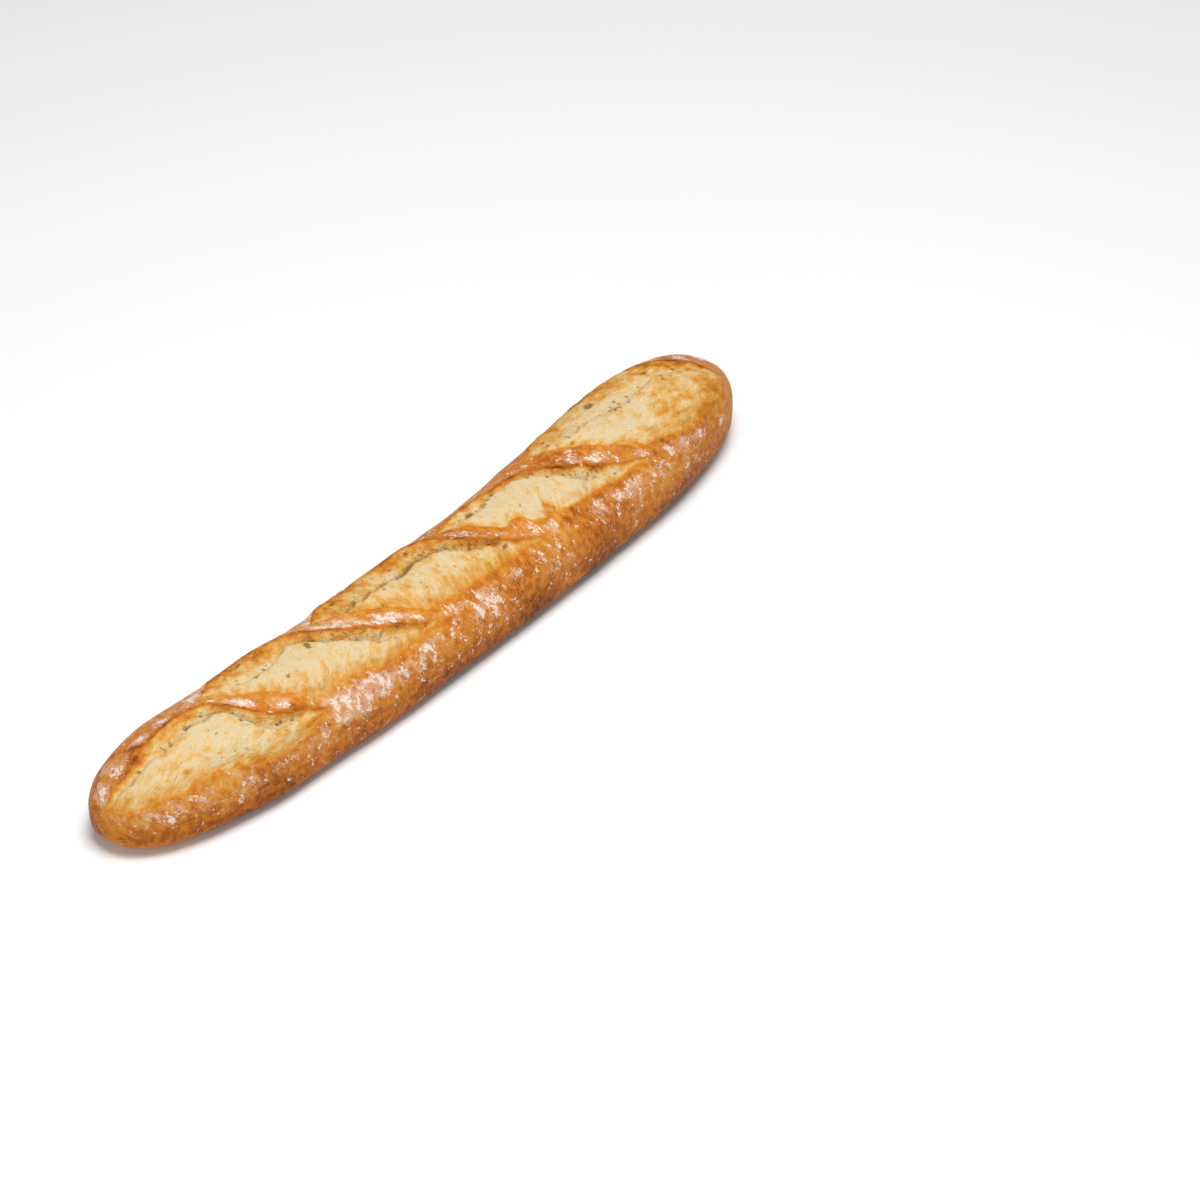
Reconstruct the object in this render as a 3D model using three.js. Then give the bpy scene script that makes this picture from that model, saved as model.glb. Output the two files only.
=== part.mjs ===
// A whole baguette lying on its flat underside. Millimetres, +Z up.
// +X runs along the loaf, from its narrow end to its broad end; +Y is the side
// that the slashes' ears lean away from. The origin is below the middle of the
// loaf, on the surface that it rests on.
//
// A place on the crust is given as (x, girth): girth is the distance over the
// crust from the crown, positive towards +Y.

import * as THREE from 'three';

// Driving dimensions
const LENGTH = 520;
const NARROW_WIDTH = 77; // the width WIDTH_STATION of the way to the narrow end
const MIDDLE_WIDTH = 77;
const BROAD_WIDTH = 87; // the width WIDTH_STATION of the way to the broad end
const WIDTH_STATION = 0.6;
const HEIGHT_PER_WIDTH = 0.727;
const BELT_HEIGHT = 0.4; // the widest level, as a share of the height

const BEND = 16; // how far the middle bows towards -Y
const BEND_SKEW = 6.5; // how far the bow leans towards the narrow end
const TIP_DROP = 4; // how far the tips sink below the belt
const SEAT_DEPTH = 1.5; // how much of the rounded underside is pressed flat

// How blunt the ends are: a higher number keeps the full width for longer
const NARROW_END_BLUNTNESS = 6.7;
const BROAD_END_BLUNTNESS = 4.7;

// How the crown and the underside follow the width as it closes at the ends
const CROWN_CLOSING = 0.9;
const UNDERSIDE_CLOSING = 0.6;

// Roundness of the section: 1 is an ellipse, less is boxier
const SIDE_ROUNDNESS = 0.85;
const CROWN_ROUNDNESS = 0.9;
const UNDERSIDE_ROUNDNESS = 0.45;

// The five slashes, from the narrow end to the broad end. Each opening lies about
// a chord from start to end. ear and rim are the two edges of the torn crust, as
// [share of the chord, distance from it], with the ear towards +Y and the rim
// towards -Y. crease is where the swollen dough folds under the wall below the
// ear, as [share of the chord, share of the way from rim to ear, depth].
const SLASHES = [
  {
    start: { x: -257, girth: -1 },
    end: { x: -131, girth: -34 },
    ear: [[0.1, 4], [0.2, 13], [0.35, 22], [0.47, 28], [0.55, 26], [0.66, 12], [0.77, 4.5], [0.9, 2]],
    rim: [[0.05, 9], [0.2, 18.5], [0.45, 17], [0.77, 17.5], [0.9, 10]],
    earHeight: 2.2,
    crease: [[0, 0.75, 1], [0.3, 0.7, 3], [0.55, 0.77, 4], [0.68, 0.68, 3], [1, 0.75, 1]],
  },
  {
    start: { x: -180, girth: 15 },
    end: { x: -37, girth: -30 },
    ear: [[0.05, 8], [0.15, 19], [0.25, 27], [0.36, 27], [0.44, 25], [0.54, 15], [0.66, 7.5], [0.85, 1.5]],
    rim: [[0.1, 7], [0.2, 13], [0.37, 24.5], [0.5, 19.5], [0.74, 15.5], [0.9, 7]],
    earHeight: 2,
    crease: [[0, 0.3, 0.3], [0.27, 0.42, 0.5], [0.38, 0.76, 2], [0.57, 0.74, 3.5], [1, 0.5, 1]],
  },
  {
    start: { x: -97, girth: 18 },
    end: { x: 52, girth: -30 },
    ear: [[0.05, 11], [0.12, 20], [0.2, 28], [0.35, 34], [0.57, 28.5], [0.66, 18], [0.76, 9], [0.89, 2.5]],
    rim: [[0.13, 4.5], [0.25, 10], [0.42, 20.5], [0.52, 18], [0.65, 13], [0.78, 9], [0.89, 5]],
    earHeight: 2.2,
    crease: [[0, 0.02, 0.5], [0.2, 0.28, 2], [0.37, 0.46, 5], [0.61, 0.76, 4], [1, 0.62, 1]],
  },
  {
    start: { x: 2, girth: 20 },
    end: { x: 146, girth: -35 },
    ear: [[0.1, 8], [0.3, 16], [0.42, 19], [0.52, 16], [0.63, 9.5], [0.77, 3]],
    rim: [[0.09, 2.5], [0.25, 15.5], [0.42, 19], [0.57, 16], [0.72, 12], [0.85, 8]],
    earHeight: 1.6,
    crease: [[0, 0.3, 0.5], [0.18, 0.5, 1], [0.32, 0.9, 1.2], [0.53, 0.86, 1.5], [1, 0.45, 1]],
  },
  {
    start: { x: 89, girth: 19 },
    end: { x: 238, girth: -22 },
    ear: [[0.05, 9], [0.12, 22], [0.22, 30], [0.35, 34.5], [0.52, 39], [0.62, 39], [0.75, 32], [0.87, 20]],
    rim: [[0.08, 3], [0.18, 11], [0.3, 21], [0.4, 28], [0.54, 30], [0.7, 28], [0.85, 20], [0.93, 13]],
    earHeight: 0.6,
    crease: [[0, 0.2, 0.5], [0.22, 0.28, 2.5], [0.5, 0.48, 2], [0.8, 0.7, 1], [1, 0.75, 0.5]],
  },
];

// The relief of a slash, as heights over the crust and distances across it
const BELLY_HEIGHT = 3; // the dough that swelled up through the opening
const BELLY_SLOPE = 12; // how far the belly takes to rise from the rim
const BELLY_EDGE = 10; // how far before the crease the belly rolls under
const FULL_BELLY_WIDTH = 18; // a narrower belly swells less
const EAR_REACH = 13; // how far the lifted ear slopes back to the crust
const RIM_HEIGHT = 0.8; // the low edge of crust on the other side
const RIM_REACH = 9;
const WALL_WIDTH = 10; // the wall from the crease up to the ear is at least this wide
const FULL_RELIEF_WIDTH = 28; // a narrower part of an opening is shallower

// Mesh: rings along the loaf and points round each ring
const RINGS = 112;
const RING_POINTS = 44;
const END_CROWDING = 0.45; // 0 spaces the rings evenly, 1 crowds them at the ends
const CROWN_CROWDING = 0.4; // 0 spaces the points evenly, more crowds them on top

const HALF_LENGTH = LENGTH / 2;

function clamp01(value) {
  return Math.min(Math.max(value, 0), 1);
}

function smoothStep(value) {
  const t = clamp01(value);
  return t * t * (3 - 2 * t);
}

// A number's power, keeping its sign
function signedPower(value, exponent) {
  return Math.sign(value) * Math.abs(value) ** exponent;
}

// A smooth curve along the chord through an opening's edge, which it meets at both ends
function edgeCurve(points) {
  const known = [[0, 0], ...points, [1, 0]];
  const places = known.map(([place]) => place);
  const distances = known.map(([, distance]) => distance);
  return new THREE.CubicInterpolant(places, distances, 1);
}

// Two values along the chord that change evenly from each of their points to the next
function creaseCurve(points) {
  const places = points.map(([place]) => place);
  const values = points.flatMap(([, lie, depth]) => [lie, depth]);
  return new THREE.LinearInterpolant(places, values, 2);
}

// The width of the loaf before its ends round off, at u from -1 to 1
function bodyWidth(u) {
  const slope = (BROAD_WIDTH - NARROW_WIDTH) / (2 * WIDTH_STATION);
  const ends = (BROAD_WIDTH + NARROW_WIDTH) / 2;
  const curve = (ends - MIDDLE_WIDTH) / WIDTH_STATION ** 2;
  return MIDDLE_WIDTH + slope * u + curve * u * u;
}

// How much of its body width the loaf keeps at u, 1 in the middle and 0 at the tips
function endRounding(u) {
  const bluntness = u < 0 ? NARROW_END_BLUNTNESS : BROAD_END_BLUNTNESS;
  return Math.sqrt(1 - Math.abs(u) ** bluntness);
}

function centreline(u) {
  return -BEND * (1 - u * u) - BEND_SKEW * (u ** 3 - u);
}

// A point of the smooth loaf, before the slashes. angle is 0 at the crown and
// grows towards -Y.
function loafPoint(u, angle) {
  const rounding = endRounding(u);
  const width = bodyWidth(u);
  const height = width * HEIGHT_PER_WIDTH;
  const belt = height * BELT_HEIGHT;
  const up = Math.cos(angle);
  const rise = up >= 0
    ? (height - belt) * rounding ** CROWN_CLOSING * up ** CROWN_ROUNDNESS
    : -belt * rounding ** UNDERSIDE_CLOSING * (-up) ** UNDERSIDE_ROUNDNESS;
  const drop = TIP_DROP * smoothStep((Math.abs(u) - 0.7) / 0.3) ** 2;
  return new THREE.Vector2(
    centreline(u) - (width / 2) * rounding * signedPower(Math.sin(angle), SIDE_ROUNDNESS),
    belt + rise - drop - SEAT_DEPTH,
  );
}

// The curves and the chord of every slash, worked out once
const openings = SLASHES.map((slash) => {
  const chord = new THREE.Vector2(slash.end.x - slash.start.x, slash.end.girth - slash.start.girth);
  return {
    start: slash.start,
    length: chord.length(),
    direction: chord.clone().normalize(),
    ear: edgeCurve(slash.ear),
    rim: edgeCurve(slash.rim),
    crease: creaseCurve(slash.crease),
    earHeight: slash.earHeight,
  };
});

// The height that one opening adds to or takes from the crust at (x, girth)
function openingRelief(opening, x, girth) {
  const offset = new THREE.Vector2(x - opening.start.x, girth - opening.start.girth);
  const share = clamp01(offset.dot(opening.direction) / opening.length);
  const across = opening.direction.cross(offset);
  const earEdge = Math.max(opening.ear.evaluate(share)[0], 0);
  const rimEdge = Math.max(opening.rim.evaluate(share)[0], 0);
  const strength = smoothStep((earEdge + rimEdge) / FULL_RELIEF_WIDTH);
  if (across > earEdge) {
    return strength * opening.earHeight * (1 - smoothStep((across - earEdge) / EAR_REACH));
  }
  if (across < -rimEdge) {
    return strength * RIM_HEIGHT * (1 - smoothStep((-rimEdge - across) / RIM_REACH));
  }
  return strength * heightInside(opening, share, across + rimEdge, earEdge + rimEdge);
}

// The height inside an opening, at a distance from its rim: over the belly to the
// crease, and then up the wall to the ear
function heightInside(opening, share, distance, width) {
  const [lie, depth] = opening.crease.evaluate(share);
  const crease = Math.min(width * lie, Math.max(width - WALL_WIDTH, width / 2));
  if (distance > crease) {
    const wall = smoothStep((distance - crease) / (width - crease));
    return THREE.MathUtils.lerp(-depth, opening.earHeight, wall);
  }
  const bulge = BELLY_HEIGHT * smoothStep(crease / FULL_BELLY_WIDTH);
  const tuck = 1 - clamp01((crease - distance) / BELLY_EDGE);
  const rolledUnder = 1 - Math.sqrt(1 - tuck ** 2);
  const top = RIM_HEIGHT + bulge * smoothStep(distance / BELLY_SLOPE);
  return THREE.MathUtils.lerp(top, -depth, rolledUnder);
}

function relief(x, girth) {
  let height = 0;
  for (const opening of openings) {
    height += openingRelief(opening, x, girth);
  }
  return height;
}

// One ring of the finished loaf: the smooth section, pushed out or in by the
// relief, and pressed flat where it meets the surface below
function ring(u) {
  const points = [];
  for (let k = 0; k <= RING_POINTS; k += 1) {
    const turn = (2 * Math.PI * k) / RING_POINTS - Math.PI;
    points.push(loafPoint(u, turn - CROWN_CROWDING * Math.sin(turn)));
  }
  const girths = girthsOf(points);
  return points.map((point, k) => {
    const before = points[k === 0 ? RING_POINTS - 1 : k - 1];
    const after = points[k === RING_POINTS ? 1 : k + 1];
    const outward = new THREE.Vector2(after.y - before.y, before.x - after.x).normalize();
    const finished = point.clone().addScaledVector(outward, relief(u * HALF_LENGTH, girths[k]));
    finished.y = Math.max(finished.y, 0);
    return finished;
  });
}

// The distance of each point of a ring from its crown, measured over the crust
function girthsOf(points) {
  const crown = RING_POINTS / 2;
  const girths = new Array(RING_POINTS + 1).fill(0);
  for (let k = crown + 1; k <= RING_POINTS; k += 1) {
    girths[k] = girths[k - 1] - points[k].distanceTo(points[k - 1]);
  }
  for (let k = crown - 1; k >= 0; k -= 1) {
    girths[k] = girths[k + 1] + points[k].distanceTo(points[k + 1]);
  }
  return girths;
}

// A sphere whose rings become the rings of the loaf
function loafGeometry() {
  const geometry = new THREE.SphereGeometry(1, RING_POINTS, RINGS);
  const position = geometry.getAttribute('position');
  for (let i = 0; i <= RINGS; i += 1) {
    const even = (2 * i) / RINGS - 1;
    const crowded = -Math.cos((Math.PI * i) / RINGS);
    const u = THREE.MathUtils.lerp(even, crowded, END_CROWDING);
    ring(u).forEach((point, k) => {
      position.setXYZ(i * (RING_POINTS + 1) + k, u * HALF_LENGTH, point.x, point.y);
    });
  }
  // Rings in this order lay the diagonal of each quad along the slashes, which
  // keeps their edges smooth. They also face it inwards, so it is turned round.
  geometry.getIndex().array.reverse();
  centreOnOrigin(geometry);
  geometry.computeVertexNormals();
  return geometry;
}

// The bow puts the loaf to one side, so its box is moved back over the origin
function centreOnOrigin(geometry) {
  geometry.computeBoundingBox();
  const centre = geometry.boundingBox.getCenter(new THREE.Vector3());
  geometry.translate(-centre.x, -centre.y, -geometry.boundingBox.min.z);
}

const crust = new THREE.MeshStandardMaterial({ color: 0xc8873e, roughness: 0.7, metalness: 0 });

const loaf = new THREE.Mesh(loafGeometry(), crust);
loaf.name = 'loaf';

const baguette = new THREE.Group();
baguette.add(loaf);

export default baguette;
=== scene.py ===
"""A whole baguette: its crust, five open slashes and flour, on a pale studio floor.

Shapes are worked out in millimetres and set down in metres. A place on the crust
is (x, girth): girth is the distance over the crust from the crown, positive
towards +Y. The slashes' ears are on their +Y side and their rims on their -Y side.
"""

import math
from typing import NamedTuple

import bpy
import numpy as np
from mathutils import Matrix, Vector


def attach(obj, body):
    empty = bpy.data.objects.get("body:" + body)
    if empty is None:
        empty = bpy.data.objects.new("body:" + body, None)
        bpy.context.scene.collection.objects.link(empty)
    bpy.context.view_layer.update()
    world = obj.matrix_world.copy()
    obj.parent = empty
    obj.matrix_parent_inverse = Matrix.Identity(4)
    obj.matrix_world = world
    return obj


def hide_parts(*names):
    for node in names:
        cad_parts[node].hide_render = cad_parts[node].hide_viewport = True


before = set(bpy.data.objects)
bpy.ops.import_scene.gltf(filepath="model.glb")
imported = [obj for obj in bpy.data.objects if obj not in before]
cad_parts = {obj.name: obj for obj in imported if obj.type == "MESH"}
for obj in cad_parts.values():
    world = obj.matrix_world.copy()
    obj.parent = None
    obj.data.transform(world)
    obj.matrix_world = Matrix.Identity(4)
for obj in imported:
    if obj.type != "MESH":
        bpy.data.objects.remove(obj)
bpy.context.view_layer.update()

MM = 0.001

# The smooth loaf, as part.mjs has it
LENGTH = 520.0
HALF_LENGTH = LENGTH / 2
NARROW_WIDTH = 77.0
MIDDLE_WIDTH = 77.0
BROAD_WIDTH = 87.0
WIDTH_STATION = 0.6
HEIGHT_PER_WIDTH = 0.727
BELT_HEIGHT = 0.4
BEND = 16.0
BEND_SKEW = 6.5
TIP_DROP = 4.0
TIP_SHARE = 0.3  # how much of each half, at its tip, drops
SEAT_DEPTH = 1.5
NARROW_END_BLUNTNESS = 6.7
BROAD_END_BLUNTNESS = 4.7
CROWN_CLOSING = 0.9
UNDERSIDE_CLOSING = 0.6
SIDE_ROUNDNESS = 0.85
CROWN_ROUNDNESS = 0.9
UNDERSIDE_ROUNDNESS = 0.45


class Lip(NamedTuple):
    """An ear: its height, where along the slash it begins to overhang, and how far it does."""

    height: float
    start: float
    reach: float


class Slash(NamedTuple):
    """An opened cut, from start to end as (x, girth)."""

    start: tuple
    end: tuple
    ear: tuple  # (share of the slash, how far the ear's edge is from the chord)
    rim: tuple  # (share of the slash, how far the rim is from the chord)
    lip: Lip
    crease: tuple  # (share of the slash, share of the opening from rim to ear, depth)
    toast: tuple  # (share of the slash, how far the belly has browned)
    rim_toast: tuple  # (share of the slash, how far from the rim it is golden)
    ear_toast: tuple  # (share of the slash, how far from the ear it is golden)
    rim_brown: float  # how much browner the crust is along the rim
    groove: float  # how deep the belly tucks in along the first half of the rim
    grain: float  # the stretch marks' angle to the chord, in degrees
    flaps: tuple = ()  # torn crust at the rim: (distance along, reach over the opening, half width)


SLASHES = [
    Slash(
        start=(-257, -1),
        end=(-131, -34),
        ear=(
            (0.1, 4), (0.2, 13), (0.35, 22), (0.47, 28),
            (0.55, 26), (0.66, 12), (0.77, 4.5), (0.9, 2),
        ),
        rim=((0.05, 9), (0.2, 18.5), (0.45, 17), (0.77, 17.5), (0.9, 10)),
        lip=Lip(2.0, 0.1, 0.8),
        crease=(
            (0, 0.75, 0.4), (0.3, 0.7, 1.6), (0.42, 0.7, 3.2),
            (0.55, 0.77, 4), (0.68, 0.68, 3), (1, 0.75, 1),
        ),
        toast=((0, 0.14), (0.25, 0.06), (0.45, 0.0), (0.8, 0.08), (1, 0.16)),
        rim_toast=((0, 14), (0.3, 12), (0.5, 8), (0.8, 15), (1, 10)),
        ear_toast=((0, 5), (0.3, 12), (0.6, 8), (1, 5)),
        rim_brown=0.02,
        groove=0.0,
        grain=20,
    ),
    Slash(
        start=(-180, 15),
        end=(-37, -30),
        ear=(
            (0.05, 8), (0.15, 19), (0.25, 27), (0.36, 27),
            (0.44, 25), (0.54, 15), (0.66, 7.5), (0.85, 1.5),
        ),
        rim=((0.1, 7), (0.2, 13), (0.37, 24.5), (0.5, 19.5), (0.74, 15.5), (0.9, 7)),
        lip=Lip(2.0, 0.35, 0.8),
        crease=(
            (0, 0.3, 0.5), (0.27, 0.42, 1.5), (0.38, 0.76, 3.5),
            (0.57, 0.74, 4), (0.7, 0.62, 3.2), (1, 0.5, 1),
        ),
        toast=((0, 0.05), (0.5, 0.03), (1, 0.2)),
        rim_toast=((0, 5), (0.2, 8), (0.35, 13), (0.55, 10), (1, 7)),
        ear_toast=((0, 30), (0.35, 26), (0.5, 10), (1, 5)),
        rim_brown=-0.04,
        groove=1.0,
        grain=70,
    ),
    Slash(
        start=(-97, 18),
        end=(52, -30),
        ear=(
            (0.05, 11), (0.12, 20), (0.2, 28), (0.35, 34),
            (0.57, 28.5), (0.66, 18), (0.76, 9), (0.89, 2.5),
        ),
        rim=((0.13, 4.5), (0.25, 10), (0.42, 20.5), (0.52, 18), (0.65, 13), (0.78, 9), (0.89, 5)),
        lip=Lip(2.2, 0.4, 1.2),
        crease=(
            (0, 0.02, 0.5), (0.2, 0.28, 5), (0.33, 0.44, 9),
            (0.5, 0.65, 7), (0.63, 0.75, 4), (1, 0.62, 1),
        ),
        toast=((0, 0.2), (0.4, 0.12), (0.7, 0.13), (1, 0.24)),
        rim_toast=((0, 5), (0.3, 9), (0.55, 13), (1, 8)),
        ear_toast=((0, 34), (0.4, 28), (0.6, 10), (1, 5)),
        rim_brown=-0.02,
        groove=1.0,
        grain=105,
    ),
    Slash(
        start=(2, 20),
        end=(146, -35),
        ear=((0.1, 8), (0.3, 16), (0.42, 19), (0.52, 16), (0.63, 9.5), (0.77, 3)),
        rim=((0.09, 2.5), (0.25, 15.5), (0.42, 19), (0.57, 16), (0.72, 12), (0.85, 8)),
        lip=Lip(1.6, 0.2, 1.2),
        crease=(
            (0, 0.3, 0.5), (0.18, 0.5, 2), (0.32, 0.9, 2),
            (0.53, 0.86, 2.5), (0.63, 0.62, 3.5), (1, 0.45, 1),
        ),
        toast=((0, 0.1), (0.3, 0.0), (1, 0.05)),
        rim_toast=((0, 4), (0.5, 4), (1, 5)),
        ear_toast=((0, 10), (0.5, 7), (1, 5)),
        rim_brown=0.02,
        groove=0.8,
        grain=110,
        flaps=((52, 5.5, 6.5), (73, 7.5, 3.0)),
    ),
    Slash(
        start=(89, 19),
        end=(238, -22),
        ear=(
            (0.05, 9), (0.12, 22), (0.22, 30), (0.35, 34.5), (0.52, 39),
            (0.62, 39), (0.75, 32), (0.87, 20), (0.95, 10),
        ),
        rim=(
            (0.08, 3), (0.18, 11), (0.3, 21), (0.4, 28),
            (0.54, 30), (0.7, 28), (0.85, 20), (0.93, 13),
        ),
        lip=Lip(0.6, 2.0, 0.0),
        crease=(
            (0, 0.2, 0.7), (0.22, 0.28, 3.2), (0.31, 0.42, 3.2),
            (0.5, 0.48, 0.9), (0.8, 0.7, 0.3), (1, 0.75, 0.2),
        ),
        toast=((0, 0.08), (0.3, 0.0), (0.45, 0.06), (0.65, 0.22), (1, 0.34)),
        rim_toast=((0, 5), (0.3, 8), (0.6, 11), (1, 15)),
        ear_toast=((0, 24), (0.3, 34), (0.7, 30), (1, 12)),
        rim_brown=0.0,
        groove=0.8,
        grain=15,
    ),
]

# The slashes' relief: its heights, and the distances over which they are reached
BELLY_HEIGHT = 3.0
BELLY_RISE = 12.0  # how far from the rim the belly reaches its height
BELLY_EDGE = 5.0  # how far from the crease it begins to roll under
FULL_BELLY_WIDTH = 18.0
FULL_BELLY_DEPTH = 3.0
SHALLOW_BELLY = 0.45  # its height where there is no crease, against that by a deep one
GROOVE_WIDTH = 2.0
GROOVE_END = 0.6  # the share of the slash where the groove along the rim has ended
GROOVE_CLOSING = 0.25
EAR_REACH = 13.0
RIM_HEIGHT = 0.8
RIM_REACH = 9.0
WALL_WIDTH = 4.0
NARROWEST_WALL = 1.5
WALL_CURVE = 0.8  # below 1, the wall climbs most steeply at its foot
LIP_ROOT = 0.35  # the share of the wall above which the ear begins to overhang
WALL_HOLLOW = 0.35  # how far the wall draws back under the ear, against the ear's reach
HOLLOW_TOP = 0.7  # the share of the wall up to which it does
LIP_ONSET = 0.2  # the share of the slash over which the overhang grows
LIP_CLOSING = 0.15  # the share over which it shrinks again
LIP_END = 1.02
FULL_RELIEF_WIDTH = 20.0
END_FADE = 4.0

# How far the torn edges and the crease wander, except near a slash's ends
EAR_RAGGEDNESS = 1.1
RIM_RAGGEDNESS = 1.2
CREASE_RAGGEDNESS = 1.8
CLEAN_END = 0.1

# Each slash takes its noise from a layer of its own, this far from the next one's
EDGE_LAYERS = 70.0
CRUMB_LAYERS = 90.0
EDGE_ACROSS = 0.3  # how fast an edge's noise changes across it, against along it

# The noises: (size of the largest grains, seed, number of layers)
EAR_TATTERS = (9.0, 100, 4)
RIM_TATTERS = (9.0, 200, 4)
CREASE_TATTERS = (9.0, 300, 4)
BELLY_MOTTLE = (5.0, 40, 4)
BELLY_PATCHES = (3.5, 60, 3)
WALL_MOTTLE = (9.0, 80, 4)
WALL_FLECKS = (3.0, 90, 3)
SPLIT_EDGE = (5.0, 50, 3)
SCORCH_GAPS = (14.0, 3, 2)
CRUST_PATCHES = (26.0, 7, 5)
CRUST_SPOTS = (9.0, 17, 3)
FLOUR_PATCHES = (22.0, 31, 4)
HAZE_PATCHES = (8.0, 37, 3)
HOLE_EDGE = (2.5, 55, 2)
SWELLING = (42.0, 1, 2)
BLISTERS = (5.0, 11, 3)
CRUMB_LUMPS = (9.0, 21, 4)
STRETCH_MARKS = (3.5, 26, 2)

# How high the roughness is
SWELLING_HEIGHT = 0.8
BLISTER_HEIGHT = 0.16
LUMP_HEIGHT = 0.65
STRETCH_MARK_HEIGHT = 0.4

# The mesh: points along the loaf and round it, closest together on the crown
STATIONS = 560
AROUND = 172
FINE_SHARE = 0.66  # how much of the girth, from the crown down, has the finest spacing
SPACING_CHANGE = 0.15  # over how much more of the girth the spacing widens
COARSE_SPACING = 2.8  # the spacing on the underside, against 1 on the crown
END_CROWDING = 0.35
SECTION_STEPS = 600  # for measuring the crust round a section
GIRTH_STEPS = 2001  # for spacing the points round it


def smooth_step(value):
    """0 below 0, 1 above 1, and a smooth rise between them."""
    t = np.clip(value, 0.0, 1.0)
    return t * t * (3.0 - 2.0 * t)


def rise(value, start, reach):
    """0 up to start, and a smooth rise to 1 over reach beyond it."""
    return smooth_step((value - start) / reach)


def fall_off(distance, reach):
    """1 at no distance, and down to 0 at reach."""
    return 1 - smooth_step(distance / np.maximum(reach, 0.1))


def bell(distance, width):
    """1 at no distance, and about a third of that at width to either side."""
    return np.exp(-((distance / width) ** 2))


def plateau(distance, width):
    """Like bell, but flatter in its middle and steeper at its sides."""
    return np.exp(-((distance / width) ** 4))


def signed_power(value, exponent):
    return np.sign(value) * np.abs(value) ** exponent


def lerp(a, b, t):
    return a + (b - a) * t


def unit(vectors):
    length = np.linalg.norm(vectors, axis=-1, keepdims=True)
    return vectors / np.maximum(length, 1e-9)


def noise(points, size, seed):
    """Smooth random numbers from -1 to 1 at points, which vary over about size millimetres."""
    cells = 32
    lattice = np.random.default_rng(seed).uniform(-1.0, 1.0, (cells, cells, cells))
    scaled = points / size
    cell = np.floor(scaled).astype(int)
    t = smooth_step(scaled - cell)
    total = 0.0
    for corner in np.ndindex(2, 2, 2):
        index = (cell + corner) % cells
        weight = np.prod(np.where(corner, t, 1.0 - t), axis=-1)
        total = total + weight * lattice[index[..., 0], index[..., 1], index[..., 2]]
    return total


def layered_noise(points, size, seed, layers):
    """Noise with finer, weaker noise on top of it."""
    total = 0.0
    for layer in range(layers):
        total = total + noise(points, size / 2**layer, seed + layer) / 2**layer
    return total


def outline(share, points):
    """A smooth curve through an opening's edge points, which meets the chord at both ends."""
    known = np.array([(0.0, 0.0), *points, (1.0, 0.0)])
    places, distances = known.T
    slopes = np.gradient(distances, places)
    place = np.clip(share, 0.0, 1.0)
    i = np.clip(np.searchsorted(places, place, side="right") - 1, 0, len(places) - 2)
    step = places[i + 1] - places[i]
    t = (place - places[i]) / step
    bend = t * (1 - t) * step * ((1 - t) * slopes[i] - t * slopes[i + 1])
    return np.maximum(lerp(distances[i], distances[i + 1], smooth_step(t)) + bend, 0.0)


def body_width(u):
    slope = (BROAD_WIDTH - NARROW_WIDTH) / (2 * WIDTH_STATION)
    curve = ((BROAD_WIDTH + NARROW_WIDTH) / 2 - MIDDLE_WIDTH) / WIDTH_STATION**2
    return MIDDLE_WIDTH + slope * u + curve * u * u


def end_rounding(u):
    bluntness = np.where(u < 0, NARROW_END_BLUNTNESS, BROAD_END_BLUNTNESS)
    return np.sqrt(np.clip(1.0 - np.abs(u) ** bluntness, 0.0, 1.0))


def loaf_section(u, angle):
    """(y, z) of the smooth loaf. angle is 0 at the crown and grows towards -Y."""
    rounding = end_rounding(u)
    width = body_width(u)
    height = width * HEIGHT_PER_WIDTH
    belt = height * BELT_HEIGHT
    up = np.cos(angle)
    over = (height - belt) * rounding**CROWN_CLOSING * np.abs(up) ** CROWN_ROUNDNESS
    under = belt * rounding**UNDERSIDE_CLOSING * np.abs(up) ** UNDERSIDE_ROUNDNESS
    drop = TIP_DROP * rise(np.abs(u), 1 - TIP_SHARE, TIP_SHARE) ** 2
    centre = -BEND * (1 - u * u) - BEND_SKEW * (u**3 - u)
    y = centre - width / 2 * rounding * signed_power(np.sin(angle), SIDE_ROUNDNESS)
    z = belt + np.where(up >= 0, over, -under) - drop - SEAT_DEPTH
    return y, z


def station_places():
    """Places along the loaf, -1 to 1, closer together at the ends."""
    even = np.linspace(-1.0, 1.0, STATIONS)
    crowded = np.sin(even * math.pi / 2)
    return lerp(even, crowded, END_CROWDING)


def girth_shares():
    """Places round the loaf, 1 on the +Y side of the seam below to -1 on its other side."""
    steps = np.linspace(-1.0, 1.0, GIRTH_STEPS)
    spacing = lerp(1.0, COARSE_SPACING, rise(np.abs(steps), FINE_SHARE, SPACING_CHANGE))
    order = np.cumsum(1.0 / spacing)
    order = (order - order[0]) / (order[-1] - order[0])
    return np.interp(np.linspace(1.0, 0.0, AROUND + 1), order, steps)


class Loaf(NamedTuple):
    """The smooth loaf as a grid of stations by places round it."""

    points: np.ndarray  # (stations, around, 3)
    normals: np.ndarray
    towards_ear: np.ndarray  # unit vectors of growing girth
    x: np.ndarray
    girth: np.ndarray


def smooth_loaf():
    places = station_places()
    shares = girth_shares()
    half_turn = np.linspace(0.0, math.pi, SECTION_STEPS)
    rows = []
    girths = []
    for u in places:
        y, z = loaf_section(u, half_turn)
        over_crust = np.concatenate([[0.0], np.cumsum(np.hypot(np.diff(y), np.diff(z)))])
        angle = np.interp(np.abs(shares) * over_crust[-1], over_crust, half_turn)
        y, z = loaf_section(u, -np.sign(shares) * angle)
        rows.append(np.stack([np.full_like(y, u * HALF_LENGTH), y, z], axis=-1))
        girths.append(shares * over_crust[-1])
    points = np.array(rows)
    along = np.gradient(points, axis=0)
    around = -np.gradient(points, axis=1)
    normals = unit(np.cross(along, around))
    girth = np.array(girths)
    return Loaf(points, normals, unit(around), points[..., 0], girth)


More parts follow.
